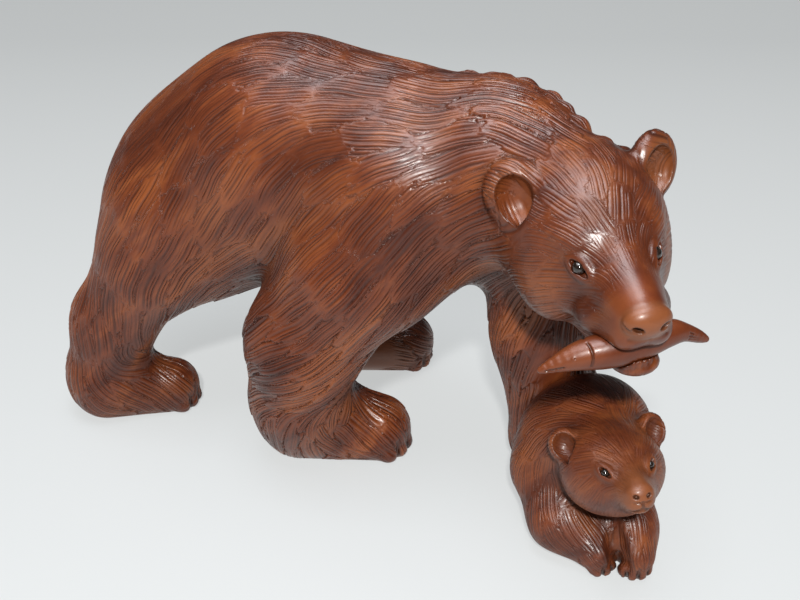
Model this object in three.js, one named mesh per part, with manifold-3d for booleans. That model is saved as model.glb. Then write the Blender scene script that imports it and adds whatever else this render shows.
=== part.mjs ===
// Carved wooden figurine: a walking mother bear holds a salmon across her mouth while her cub
// crouches against her left foreleg.  Millimetres, +Z up, +X from rump to head, +Y to her left.
import * as THREE from 'three';
import { MarchingCubes } from 'three/addons/objects/MarchingCubes.js';
import { mergeVertices } from 'three/addons/utils/BufferGeometryUtils.js';
import Module from 'manifold-3d';

const wasm = await Module();
wasm.setup();

// ---- driving dimensions: where each carved mass sits and how big it is ----
const RUMP = { at: [-96, 4, 100], radii: [40, 41, 47] };
const BARREL = { at: [-48, 4, 126], radii: [60, 44, 54] };
const CHEST = { at: [6, 0, 128], radii: [46, 41, 46] };
const SHOULDER_HUMP = { at: [38, -1, 149], radii: [24, 20, 24] };
const NECK = [[48, -8, 138, 32], [73, -22, 138, 27]];
const THIGH = { at: [-97, -16, 98], radii: [29, 26, 34], lean: [20, -30, 0] };
const SHOULDER = { at: [4, -28, 118], radii: [28, 20, 38] };

// each leg and foot is a run of joints: x, y, z, radius
const HIND_RIGHT_LEG = [[-108, -22, 80, 24], [-129, -27, 48, 17.5], [-135, -29, 24, 18]];
const HIND_RIGHT_FOOT = [[-136, -30, 13, 17], [-110, -18, 11, 14]];
const FRONT_RIGHT_LEG = [[-8, -32, 100, 28], [-29, -35, 66, 23], [-36, -30, 34, 22]];
const FRONT_RIGHT_FOOT = [[-38, -23, 15, 20], [-8, -16, 12, 17]];
const HIND_LEFT_LEG = [[-80, 30, 110, 30], [-66, 38, 62, 20], [-52, 44, 26, 16]];
const HIND_LEFT_FOOT = [[-44, 46, 13, 15], [-16, 56, 11, 13]];
const FRONT_LEFT_LEG = [[52, 10, 114, 25], [63, 2, 66, 18.5], [70, -2, 22, 17]];
const FRONT_LEFT_FOOT = [[70, -2, 13, 15], [88, 3, 10, 12]];

// the mother's head: x forward to the nose, y to her left, z up, about the middle of the skull
const HEAD = { at: [84, -32.3, 135], turn: [-56.7, 3.8, 3.4] };
const SKULL = { at: [-3, 0, 2], radii: [29, 28, 26] };
const CHEEK = { at: [0, 14, -12], radii: [20, 14, 18] };
const MUZZLE = [[16, 0, -4, 16], [41, 0, -9, 10.5]];
const LOWER_JAW = [[8, 0, -24, 12], [34, 0, -31, 6]];
const LEFT_EAR = { at: [-7, 26, 19], radii: [6, 11, 13], lean: [25, 10, -20] };
const RIGHT_EAR = { at: [-7, -26, 17], radii: [6, 11, 12.5], lean: [-25, 10, 20] };
const EYE = { side: 14, up: 1, radius: 2.4, sunk: 0.7 };

// the salmon lies across the mouth; joints in the frame of the mother's head
const SALMON = [
  [36, -32, -29, 1.2], [37, -20, -25.8, 4.5], [38, -9, -24.8, 6.2], [38, 2, -24, 6.2],
  [38, 12, -23, 4.8], [38, 18, -22.5, 3], [38, 27, -28, 1.2],
];

// the cub: x to the right of the glue face, y straight back from it, z up
const GLUE_TURN = 20;
const GLUE_FACE = -42;
const GLUE_GAP = 0.3;
const CUB_BODY = { at: [75, -50, 31], radii: [27, 26, 30] };
const CUB_CHEST = [[80, -54, 42, 20], [77.8, -81.5, 46, 16]];
const CUB_RIGHT_LEG = [[60, -56, 22, 14], [64, -75, 13, 11], [78, -88, 8, 8]];
const CUB_LEFT_LEG = [[88, -64, 25, 12], [91, -80, 14, 10], [92, -90, 8, 8]];
const CUB_HEAD = { at: [105, -50, 46], turn: [-63, 30, 5] };
const CUB_SKULL = { at: [0, 0, 0], radii: [19, 19, 17] };
const CUB_MUZZLE = [[10, 0, -3, 11], [25, 0, -5, 6.5]];
const CUB_EAR = { at: [-4, 17.5, 13], radii: [5, 7, 8], lean: [25, 10, -20] };
const CUB_EYE = { side: 8.5, up: 3, radius: 1.6, sunk: 0.5 };

// glue dowels, and the play left round a piece set into a hole
const CUB_PEG = { radius: 3, length: 20, right: 70, upper: 38, lower: 20 };
const SALMON_PEG = { radius: 1.5, length: 12, ahead: 38, middle: -19.5 };
const PLAY = 0.3;

// facet size of each carved skin
const MOTHER_CELL = 7;
const CUB_CELL = 5;
const SALMON_CELL = 2.5;

// ---- clay: rounded masses that melt into each other ----
function placed(at, turn = [0, 0, 0]) {
  const [yaw, pitch, roll] = turn.map(THREE.MathUtils.degToRad);
  const rotation = new THREE.Euler(roll, -pitch, yaw, 'ZYX');
  return new THREE.Matrix4().makeRotationFromEuler(rotation).setPosition(...at);
}

function ball({ at, radii, lean }, blend, frame = placed([0, 0, 0])) {
  const back = frame.clone().multiply(placed(at, lean)).invert();
  const q = new THREE.Vector3();
  const [a, b, c] = radii;
  const distance = (p) => {
    q.copy(p).applyMatrix4(back);
    const reach = Math.hypot(q.x / a, q.y / b, q.z / c);
    const slope = Math.hypot(q.x / a ** 2, q.y / b ** 2, q.z / c ** 2);
    return (reach * (reach - 1)) / (slope + 1e-9);
  };
  return { blend, distance };
}

function bone(from, to, blend, frame = placed([0, 0, 0])) {
  const start = new THREE.Vector3(...from).applyMatrix4(frame);
  const end = new THREE.Vector3(...to).applyMatrix4(frame);
  const axis = end.clone().sub(start);
  const length = axis.length();
  axis.normalize();
  const taper = (from[3] - to[3]) / length;
  const flank = Math.sqrt(1 - taper * taper);
  const q = new THREE.Vector3();
  const distance = (p) => {
    q.copy(p).sub(start);
    const along = q.dot(axis);
    const out = Math.sqrt(Math.max(q.lengthSq() - along * along, 0));
    const t = along + (out * taper) / flank;
    if (t <= 0) return Math.hypot(along, out) - from[3];
    if (t >= length) return Math.hypot(along - length, out) - to[3];
    return out * flank + along * taper - from[3];
  };
  return { blend, distance };
}

function limb(joints, blend, frame) {
  return joints.slice(1).map((joint, i) => bone(joints[i], joint, blend, frame));
}

function melted(masses, p) {
  let d = Infinity;
  for (const { blend, distance } of masses) {
    const next = distance(p);
    const overlap = Math.max(blend - Math.abs(d - next), 0) / blend;
    d = Math.min(d, next) - overlap * overlap * blend * 0.25;
  }
  return d;
}

function standing(masses) {
  return (p) => Math.max(melted(masses, p), -p.z);
}

function mirrored(mass) {
  const [yaw, pitch, roll] = mass.lean;
  return { at: [mass.at[0], -mass.at[1], mass.at[2]], radii: mass.radii, lean: [-yaw, pitch, -roll] };
}

function motherClay() {
  const head = placed(HEAD.at, HEAD.turn);
  const rightCheek = { ...CHEEK, at: [CHEEK.at[0], -CHEEK.at[1], CHEEK.at[2]] };
  return standing([
    ball(RUMP, 12),
    ball(BARREL, 22),
    ball(CHEST, 22),
    ball(SHOULDER_HUMP, 16),
    ...limb(NECK, 18),
    ball(THIGH, 14),
    ...limb(HIND_RIGHT_LEG, 10),
    ...limb(HIND_RIGHT_FOOT, 8),
    ball(SHOULDER, 18),
    ...limb(FRONT_RIGHT_LEG, 12),
    ...limb(FRONT_RIGHT_FOOT, 8),
    ...limb(HIND_LEFT_LEG, 16),
    ...limb(HIND_LEFT_FOOT, 10),
    ...limb(FRONT_LEFT_LEG, 14),
    ...limb(FRONT_LEFT_FOOT, 8),
    ball(SKULL, 10, head),
    ball(CHEEK, 8, head),
    ball(rightCheek, 8, head),
    ...limb(MUZZLE, 9, head),
    ...limb(LOWER_JAW, 5, head),
    ball(LEFT_EAR, 3, head),
    ball(RIGHT_EAR, 3, head),
  ]);
}

function cubClay() {
  const body = placed([0, 0, 0], [GLUE_TURN, 0, 0]);
  const head = placed(CUB_HEAD.at, CUB_HEAD.turn);
  return standing([
    ball(CUB_BODY, 10, body),
    ...limb(CUB_CHEST, 10, body),
    ...limb(CUB_RIGHT_LEG, 8, body),
    ...limb(CUB_LEFT_LEG, 8, body),
    ball(CUB_SKULL, 6, head),
    ...limb(CUB_MUZZLE, 6, head),
    ball(CUB_EAR, 2, head),
    ball(mirrored(CUB_EAR), 2, head),
  ]);
}

function salmonClay(grown = 0) {
  const joints = SALMON.map(([x, y, z, r]) => [x, y, z, r + grown]);
  const masses = limb(joints, 3, placed(HEAD.at, HEAD.turn));
  return (p) => melted(masses, p);
}

// ---- skins and solids ----
function skin(clay, cell, low, span) {
  const size = Math.ceil(span / cell) + 6;
  const cubes = new MarchingCubes(size, new THREE.MeshBasicMaterial(), false, false, 40000);
  const p = new THREE.Vector3();
  const place = (k, from) => from + (k - 2.5) * cell;
  for (let k = 0; k < size ** 3; k += 1) {
    const [i, j] = [k % size, Math.floor(k / size) % size];
    p.set(place(i, low[0]), place(j, low[1]), place(Math.floor(k / size ** 2), low[2]));
    const depth = -clay(p);
    const clear = Math.max(Math.abs(depth), cell / 10);
    cubes.field[k] = depth < 0 ? -clear : clear;
  }
  cubes.isolation = 0;
  cubes.update();
  const corners = cubes.geometry.getAttribute('position').array.slice(0, cubes.count * 3);
  const geometry = new THREE.BufferGeometry();
  geometry.setAttribute('position', new THREE.BufferAttribute(corners, 3));
  const half = size / 2;
  geometry.scale(half * cell, half * cell, half * cell);
  geometry.translate(...low.map((from) => place(half, from)));
  return solid(geometry);
}

function solid(shape) {
  const bare = shape.clone();
  bare.deleteAttribute('normal');
  bare.deleteAttribute('uv');
  const geometry = mergeVertices(bare, 1e-3);
  return new wasm.Manifold(new wasm.Mesh({
    numProp: 3,
    vertProperties: new Float32Array(geometry.attributes.position.array),
    triVerts: new Uint32Array(geometry.index.array),
  }));
}

function surface(body) {
  const { vertProperties, triVerts } = body.getMesh();
  const geometry = new THREE.BufferGeometry();
  geometry.setAttribute('position', new THREE.BufferAttribute(vertProperties, 3));
  geometry.setIndex(new THREE.BufferAttribute(triVerts, 1));
  geometry.computeVertexNormals();
  return geometry;
}

// a round bar along the y axis of its own frame
function bar(radius, length, frame) {
  return solid(new THREE.CylinderGeometry(radius, radius, length, 20).applyMatrix4(frame));
}

// where the outside of the clay is met when coming back along x of the frame
function eyeCentre(clay, frame, { side, up, sunk }, sign) {
  const p = new THREE.Vector3();
  let ahead = 60;
  do {
    ahead -= 0.05;
    p.set(ahead, side * sign, up).applyMatrix4(frame);
  } while (clay(p) > 0);
  return new THREE.Vector3(ahead - sunk, side * sign, up).applyMatrix4(frame);
}

function bead(centre, radius) {
  return solid(new THREE.SphereGeometry(radius, 16, 12).translate(...centre.toArray()));
}

function pegFrames() {
  const body = placed([0, 0, 0], [GLUE_TURN, 0, 0]);
  const at = (up) => body.clone().multiply(placed([CUB_PEG.right, GLUE_FACE, up]));
  const head = placed(HEAD.at, HEAD.turn);
  const upright = new THREE.Matrix4().makeRotationX(Math.PI / 2);
  const across = head.multiply(placed([SALMON_PEG.ahead, 0, SALMON_PEG.middle])).multiply(upright);
  return { upper: at(CUB_PEG.upper), lower: at(CUB_PEG.lower), salmon: across };
}

// the half of space on the cub's side of the glue face, kept low so that it spares the head
function glueSide(edge, width, height) {
  const block = new THREE.BoxGeometry(width, 120, height);
  block.applyMatrix4(placed([95, edge - 60, height / 2 - 10]));
  block.applyMatrix4(placed([0, 0, 0], [GLUE_TURN, 0, 0]));
  return solid(block);
}

// ---- the pieces ----
function carve() {
  const motherShape = motherClay();
  const cubShape = cubClay();
  const head = placed(HEAD.at, HEAD.turn);
  const cubHead = placed(CUB_HEAD.at, CUB_HEAD.turn);
  const eyes = [1, -1].map((sign) => eyeCentre(motherShape, head, EYE, sign));
  const cubEyes = [1, -1].map((sign) => eyeCentre(cubShape, cubHead, CUB_EYE, sign));
  const pegs = pegFrames();
  const hole = (frame) => bar(CUB_PEG.radius + PLAY, CUB_PEG.length + 2 * PLAY, frame);
  const fishHole = bar(SALMON_PEG.radius + PLAY, SALMON_PEG.length + 2 * PLAY, pegs.salmon);

  let mother = skin(motherShape, MOTHER_CELL, [-160, -90, 0], 300);
  mother = mother.subtract(glueSide(GLUE_FACE + GLUE_GAP / 2, 100, 88));
  mother = mother.subtract(skin(salmonClay(GLUE_GAP + 0.2), SALMON_CELL, [70, -95, 90], 70));
  mother = mother.subtract(hole(pegs.upper)).subtract(hole(pegs.lower)).subtract(fishHole);
  for (const eye of eyes) mother = mother.subtract(bead(eye, EYE.radius + PLAY));

  let cub = skin(cubShape, CUB_CELL, [50, -90, 0], 90);
  cub = cub.intersect(glueSide(GLUE_FACE - GLUE_GAP / 2, 140, 120));
  cub = cub.subtract(hole(pegs.upper)).subtract(hole(pegs.lower));
  for (const eye of cubEyes) cub = cub.subtract(bead(eye, CUB_EYE.radius + PLAY));

  const salmon = skin(salmonClay(), SALMON_CELL, [70, -95, 90], 70).subtract(fishHole);
  return {
    mother_bear: mother,
    cub_bear: cub,
    salmon,
    mother_eye_left: bead(eyes[0], EYE.radius),
    mother_eye_right: bead(eyes[1], EYE.radius),
    cub_eye_left: bead(cubEyes[0], CUB_EYE.radius),
    cub_eye_right: bead(cubEyes[1], CUB_EYE.radius),
    cub_peg_upper: bar(CUB_PEG.radius, CUB_PEG.length, pegs.upper),
    cub_peg_lower: bar(CUB_PEG.radius, CUB_PEG.length, pegs.lower),
    salmon_peg: bar(SALMON_PEG.radius, SALMON_PEG.length, pegs.salmon),
  };
}

function finishes() {
  const paint = (color, roughness) => new THREE.MeshStandardMaterial({ color, roughness, metalness: 0 });
  const fur = () => paint('#6f3a26', 0.42);
  const glass = () => paint('#100b08', 0.08);
  const dowel = () => paint('#c39a66', 0.6);
  return {
    mother_bear: fur(),
    cub_bear: fur(),
    salmon: paint('#a8643c', 0.3),
    mother_eye_left: glass(),
    mother_eye_right: glass(),
    cub_eye_left: glass(),
    cub_eye_right: glass(),
    cub_peg_upper: dowel(),
    cub_peg_lower: dowel(),
    salmon_peg: dowel(),
  };
}

function figurine() {
  const group = new THREE.Group();
  group.name = 'bear_and_cub_figurine';
  const paints = finishes();
  for (const [name, body] of Object.entries(carve())) {
    const mesh = new THREE.Mesh(surface(body), paints[name]);
    mesh.name = name;
    group.add(mesh);
  }
  // the origin goes to the middle of the footprint, on the surface the feet stand on
  const box = new THREE.Box3().setFromObject(group);
  const middle = box.getCenter(new THREE.Vector3());
  for (const mesh of group.children) mesh.geometry.translate(-middle.x, -middle.y, -box.min.z);
  return group;
}

const group = figurine();
export default group;
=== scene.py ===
"""Carved and varnished wooden figurine: a walking mother bear with a salmon held across her mouth
and a cub crouching at her left foreleg.  Shapes are worked in millimetres in the carver's frame
(X from rump to head, Y to the mother's left, Z up) and moved into the row's frame at the end."""

import bpy
import numpy as np
import openvdb
from mathutils import Matrix, Vector


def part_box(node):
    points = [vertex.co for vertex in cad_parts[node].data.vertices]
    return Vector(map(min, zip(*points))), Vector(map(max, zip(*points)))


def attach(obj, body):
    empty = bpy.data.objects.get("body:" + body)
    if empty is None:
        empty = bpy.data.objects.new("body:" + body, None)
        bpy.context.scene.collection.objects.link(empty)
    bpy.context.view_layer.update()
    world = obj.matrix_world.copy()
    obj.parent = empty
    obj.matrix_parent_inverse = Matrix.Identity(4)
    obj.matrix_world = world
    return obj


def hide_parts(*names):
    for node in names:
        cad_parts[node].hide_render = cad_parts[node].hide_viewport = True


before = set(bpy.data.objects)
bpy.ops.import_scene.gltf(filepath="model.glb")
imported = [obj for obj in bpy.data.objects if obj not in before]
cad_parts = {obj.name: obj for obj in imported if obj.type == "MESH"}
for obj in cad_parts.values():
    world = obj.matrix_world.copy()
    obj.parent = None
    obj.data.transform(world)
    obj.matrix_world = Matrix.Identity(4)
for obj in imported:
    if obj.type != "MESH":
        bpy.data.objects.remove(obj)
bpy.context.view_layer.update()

MM = 0.001
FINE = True
MOTHER_VOXEL = 1.0 if FINE else 1.7  # first mesh, before it is refined once
CUB_VOXEL = 0.8 if FINE else 1.2
SALMON_VOXEL = 0.6 if FINE else 0.8
RAGGED = 0.3  # how unevenly the lines of a tuft end
GLUE_TURN = 20.0
GLUE_FACE = -42.0
GLUE_GAP = 0.3
GLUE_START, GLUE_TOP = 45, 78  # where the glued face begins and how high it reaches
HEAD_AT, HEAD_TURN = (84, -32.3, 135), (-56.7, 3.8, 3.4)
CUB_HEAD_AT, CUB_HEAD_TURN = (105, -50, 46), (-63, 30, 5)
PEG_RIGHT, PEG_UPPER = 70.0, 38.0


# -------- frames
def turned(yaw, pitch=0.0, roll=0.0):
    """Columns forward, left and up of a frame turned by those degrees."""
    y, p, r = np.radians([yaw, pitch, roll])
    forward = np.array([np.cos(y) * np.cos(p), np.sin(y) * np.cos(p), np.sin(p)])
    level = np.array([-np.sin(y), np.cos(y), 0.0])
    above = np.cross(forward, level)
    left = level * np.cos(r) + above * np.sin(r)
    return np.array([forward, left, np.cross(forward, left)]).T


class Place:
    def __init__(self, at=(0, 0, 0), turn=(0, 0, 0)):
        self.at = np.asarray(at, float)
        self.axes = turned(*turn)

    def out(self, p):
        return self.at + self.axes @ np.asarray(p, float)

    def along(self, d):
        return self.axes @ np.asarray(d, float)


BODY = Place()
HEAD = Place(HEAD_AT, HEAD_TURN)
GLUE = Place(turn=(GLUE_TURN, 0, 0))
CUB_HEAD = Place(CUB_HEAD_AT, CUB_HEAD_TURN)


# -------- clay
def soft_min(a, b, k):
    h = np.maximum(k - np.abs(a - b), 0.0) / k
    return np.minimum(a, b) - h * h * k * 0.25


class Clay:
    """Rounded masses that melt into each other, some of them cut away.  Distances in mm."""
    FAR = 60.0

    def __init__(self, floor=True):
        self.steps = []
        self.place = BODY
        self.floor = floor

    def within(self, place):
        self.place = place
        return self

    def ball(self, at, radii, blend=8.0, lean=(0, 0, 0), cut=False):
        centre = self.place.out(at)
        axes = (self.place.axes @ turned(*lean)).astype(np.float32)
        radii = np.asarray(radii, np.float32)

        def distance(p):
            q = (p - np.float32(centre)) @ axes
            reach = np.sqrt(((q / radii) ** 2).sum(-1))
            slope = np.sqrt(((q / (radii * radii)) ** 2).sum(-1)) + 1e-6
            return reach * (reach - 1.0) / slope

        pad = float(radii.max())
        self.steps.append((distance, blend, cut, centre - pad, centre + pad))
        return self

    def bone(self, a, b, ra, rb, blend=8.0, cut=False):
        start, end = self.place.out(a), self.place.out(b)
        axis = end - start
        length = float(np.linalg.norm(axis))
        axis = axis / length
        taper = (ra - rb) / length
        flank = float(np.sqrt(max(1.0 - taper * taper, 1e-6)))
        start32, axis32 = start.astype(np.float32), axis.astype(np.float32)

        def distance(p):
            q = p - start32
            t = q @ axis32
            out = np.sqrt(np.maximum((q * q).sum(-1) - t * t, 0.0))
            s = t - out * (taper / flank)
            low = np.sqrt(t * t + out * out) - ra
            high = np.sqrt((t - length) ** 2 + out * out) - rb
            side = out * flank + t * taper - ra
            return np.where(s <= 0, low, np.where(s >= length, high, side))

        pad = max(ra, rb)
        low_corner = np.minimum(start, end) - pad
        high_corner = np.maximum(start, end) + pad
        self.steps.append((distance, blend, cut, low_corner, high_corner))
        return self

    def limb(self, joints, blend=8.0, cut=False):
        for a, b in zip(joints[:-1], joints[1:]):
            self.bone(a[:3], b[:3], a[3], b[3], blend, cut)
        return self

    def half(self, distance):
        """Cuts away everything where distance is below 0."""
        self.steps.append((distance, 0.0, True, np.full(3, -1e3), np.full(3, 1e3)))
        return self

    def reaches(self):
        """How far from its own box each step can still be felt, later blends counted."""
        out, later = [], 0.0
        for _, blend, _, _, _ in reversed(self.steps):
            out.append(blend + later + 2.0)
            later = max(later, blend)
        return out[::-1]

    def merged(self, d, step, value):
        _, blend, cut, _, _ = step
        if cut:
            return -soft_min(-d, value, blend) if blend > 0 else np.maximum(d, -value)
        return soft_min(d, value, blend)

    def at(self, p):
        p = np.asarray(p, np.float32)
        d = np.full(p.shape[:-1], self.FAR, np.float32)
        for step, reach in zip(self.steps, self.reaches()):
            distance, _, _, low, high = step
            near = ((p > low - reach) & (p < high + reach)).all(-1)
            if near.any():
                d[near] = self.merged(d[near], step, distance(p[near]))
        return np.maximum(d, -p[..., 2]) if self.floor else d

    def grid(self, low, high, voxel):
        low, high = np.asarray(low, float), np.asarray(high, float)
        count = np.ceil((high - low) / voxel).astype(int) + 1
        ticks = [(low[i] + voxel * np.arange(count[i])).astype(np.float32) for i in range(3)]
        d = np.full(count, self.FAR, np.float32)
        for step, reach in zip(self.steps, self.reaches()):
            distance, _, _, lo, hi = step
            reach += 3 * voxel
            a = np.clip(np.floor((lo - reach - low) / voxel), 0, count).astype(int)
            b = np.clip(np.ceil((hi + reach - low) / voxel), 0, count).astype(int)
            if (b <= a).any():
                continue
            cut = tuple(slice(a[i], b[i]) for i in range(3))
            mesh = np.meshgrid(*(ticks[i][a[i]:b[i]] for i in range(3)), indexing="ij")
            d[cut] = self.merged(d[cut], step, distance(np.stack(mesh, -1)))
        return np.maximum(d, -ticks[2][None, None, :]) if self.floor else d

    def normal(self, p, h=0.35):
        n = np.zeros_like(p, dtype=np.float32)
        for s in np.float32([(1, -1, -1), (-1, -1, 1), (-1, 1, -1), (1, 1, 1)]):
            n += s * self.at(p + s * h)[..., None]
        return n / (np.linalg.norm(n, axis=-1, keepdims=True) + 1e-9)

    def meet(self, place, across, up, start=60.0):
        """Where the skin is met when coming back along the place's forward axis."""
        ahead = np.arange(start, -20.0, -0.05)
        line = np.stack([place.out((a, across, up)) for a in ahead])
        return place.out((ahead[np.argmax(self.at(line) <= 0)], across, up))


# -------- the figures' shapes
def toes(clay, heel, tip, size, spread=(-56, -28, 0, 28, 56)):
    """Low toes round the front of a foot that ends in the ball tip (x, y, z, radius)."""
    turn = np.degrees(np.arctan2(tip[1] - heel[1], tip[0] - heel[0]))
    clay.within(Place((tip[0], tip[1], 0), (turn, 0, 0)))
    rise, r = tip[2], tip[3]

    def out_at(z):
        return np.sqrt(max(r * r - (rise - z) ** 2, 1.0))

    for a in spread:
        c, s = np.cos(np.radians(a)), np.sin(np.radians(a))
        reach = out_at(size) - size * 0.8
        clay.ball((reach * c, reach * s, size * 0.95), (size * 1.2, size, size), 1.6, (a, 0, 0))
    for a in np.add(spread[:-1], spread[1:]) / 2:
        c, s = np.cos(np.radians(a)), np.sin(np.radians(a))
        high, low = out_at(size * 2.3) + 0.1, out_at(size * 0.6) + 0.5
        clay.bone((high * c, high * s, size * 2.3), (low * c, low * s, size * 0.2),
                  size * 0.09, size * 0.2, 1.4, cut=True)
    return clay.within(BODY)


MOTHER_EARS = [(-7, 26, 19), (-7, -26, 17)]  # left, right
CUB_EARS = [(-3, 17, 11.6), (-3, -17, 11.6)]


def ear_lean(s):
    return (25 * s, 10, -20 * s)


def ear(clay, place, at, radii, lean, cup):
    """A rounded ear with a cup scooped out of its front."""
    clay.within(place)
    clay.ball(at, radii, radii[0] / 2, lean)
    inner = Place(place.out(at))
    inner.axes = place.axes @ turned(*lean)
    clay.within(inner)
    (x, y, z), size = cup
    clay.ball((x, y, z), size, 1.2, cut=True)
    clay.bone((x * 0.9, y, z - size[2] * 0.7), (x * 1.2, y, z - size[2] * 1.3),
              size[1] * 0.36, size[1] * 0.3, 2.0, cut=True)
    return clay.within(place)


def lid_frame(skin, place, centre, side):
    """Outward from the skin, along the lids to the nose, and up across them."""
    n = skin.normal(centre[None].astype(np.float32))[0].astype(float)
    along = place.along((0.75, -0.25 * side, -0.42))
    along -= n * (along @ n)
    along /= np.linalg.norm(along)
    up = np.cross(along, n)
    return n, along, up if up[2] > 0 else -up


def lids(clay, centre, bead, axes, r):
    """A low mound of lids with an almond slit, and the seat of a bead of radius r in it."""
    n, along, up = axes
    place = Place(centre)
    place.axes = np.array([along, np.cross(n, along), n]).T
    clay.within(place)
    clay.ball((0, 0, 0.1 * r), (2.5 * r, 1.55 * r, 0.62 * r), 1.6)
    clay.ball((0.05 * r, 0, 0.55 * r), (1.85 * r, 0.62 * r, 0.85 * r), 0.4, cut=True)
    clay.within(BODY)
    clay.ball(bead, (r + 0.12,) * 3, 0.15, cut=True)
    return clay


def crest(c):
    """Raised locks along the ridge of the neck, from the hump to the back of the head."""
    start, end, count = np.array([24.0, -4, 150]), np.array([88.0, -22, 142]), 9
    for k in range(count):
        step = (k + 0.25 * np.sin(1.9 * k)) / (count - 1)
        out = Place(start + (end - start) * step, (90, 45, 0))
        r = 4.5 + 0.7 * np.sin(2.4 * k)
        c.ball(c.meet(out, 0, 0, 45.0) - out.axes[:, 0] * 0.62 * r, (r, r, r), 2.5)
    return c


def mother_skin():
    """The mother without eyes, mouth or toes."""
    c = Clay()
    c.ball((-96, 4, 100), (40, 41, 47), 12)
    c.ball((-48, 4, 126), (60, 44, 54), 22)
    c.ball((6, 0, 128), (46, 41, 46), 22)
    c.ball((38, -1, 149), (24, 20, 24), 16)
    c.limb([(48, -8, 138, 32), (73, -22, 138, 27)], 18)
    c.ball((-97, -16, 98), (29, 26, 34), 14, (20, -30, 0))
    c.limb([(-108, -22, 80, 24), (-129, -27, 48, 17.5), (-135, -29, 24, 18)], 10)
    c.limb([(-136, -30, 13, 17), (-109, -18, 10, 13)], 10)
    c.ball((4, -28, 118), (28, 20, 38), 18)
    c.limb([(-8, -32, 100, 28), (-29, -35, 66, 23), (-36, -30, 34, 22)], 12)
    c.limb([(-38, -23, 15, 20), (-5, -16, 11, 15)], 14)
    c.limb([(-80, 30, 110, 30), (-66, 38, 62, 20), (-52, 44, 26, 16)], 16)
    c.limb([(-44, 43, 14, 17), (-17, 52, 12, 15)], 10)
    c.limb([(52, 10, 114, 25), (63, 2, 66, 18.5), (70, -2, 22, 17)], 14)
    c.limb([(70, -2, 13, 15), (88, 3, 10, 12)], 8)
    c.within(GLUE)
    c.ball((74, -36, 27), (20, 17, 26), 10)  # web of wood behind the cub
    c.within(HEAD)
    c.ball((-3, 0, 2), (29, 28, 26), 10)
    for s in (1, -1):
        c.ball((0, 14 * s, -12), (20, 14, 18), 8)
    c.limb([(16, 0, -4, 16), (42, 0, -11, 10)], 9)
    c.limb([(8, 0, -24, 12), (34, 0, -31, 6)], 5)
    return crest(c.within(BODY))


def mother_face(c):
    """Brow, nose, lips, mouth and ears."""
    c.within(HEAD)
    for s in (1, -1):
        c.ball((14, 11.5 * s, 9.5), (8, 6.5, 4.2), 6, (0, -20, 0))  # brow
        c.limb([(18, 13 * s, -15, 4), (30, 9.5 * s, -15, 6), (44, 5.6 * s, -16.2, 4.8)], 4)
    c.bone((20, 0, 6.5), (43, 0, -5.6), 4.5, 4.3, 5)  # bridge of the nose
    c.ball((48.6, 0, -9.2), (5.0, 8.6, 6.0), 1.0, (0, -8, 0))  # nose pad
    c.ball((31, 0, -21.2), (22, 15.5, 1.5), 1.6, (0, -6, 0), cut=True)  # parted mouth
    c.ball((37, 1.5, -31.6), (8, 8.4, 4.2), 3)  # chin
    for k in range(-3, 5):  # lower lip in small folds
        c.ball((43.4 - 0.3 * k * k, 2.0 * k, -28.6), (1.6, 1.2, 2.4), 0.6)
    for s in (1, -1):
        c.ball((52.8, 4.9 * s, -10.4), (2.8, 2.1, 1.2), 0.7, (30 * s, 0, 20 * s), cut=True)  # nostril
        c.bone((51.2, 6.8 * s, -11.4), (48.4, 9.4 * s, -8.8), 0.6, 0.35, 0.8, cut=True)
        c.limb([(49.6, 6.6 * s, -15.0, 0.4), (51.4, 3.4 * s, -15.6, 0.5), (51.8, 0, -15.2, 0.5)],
               0.8, cut=True)  # lower edge of the nose pad
    c.bone((51.8, 0, -15.2), (49.0, 0, -21), 0.45, 0.6, 0.8, cut=True)
    for s, at, tall in zip((1, -1), MOTHER_EARS, (13, 12.5)):
        ear(c, HEAD, at, (6, 11, tall), ear_lean(s), ((5.0, -0.8 * s, -1.4), (6.2, 6.8, 8.8)))
    return c.within(BODY)


def mother_toes(c):
    toes(c, (-136, -30), (-109, -18, 10, 13), 4.4)
    toes(c, (-38, -23), (-5, -16, 11, 15), 5.0)
    toes(c, (-44, 43), (-17, 52, 12, 15), 4.6)
    toes(c, (70, -2), (88, 3, 10, 12), 4.2)
    return c


def cub_skin():
    c = Clay()
    c.within(GLUE)
    c.ball((75, -50, 31), (27, 26, 30), 10)
    c.limb([(80, -54, 42, 20), (77.8, -81.5, 46, 16)], 10)
    c.limb([(60, -56, 22, 14), (64, -75, 13, 11), (78, -88, 8, 8)], 8)
    c.limb([(88, -64, 25, 12), (91, -80, 14, 10), (92, -90, 8, 8)], 8)
    c.within(CUB_HEAD)
    c.ball((0, 0, 0), (19, 19, 17), 6)
    c.limb([(10, 0, -3, 11), (25, 0, -5, 6.5)], 6)
    return c


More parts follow.
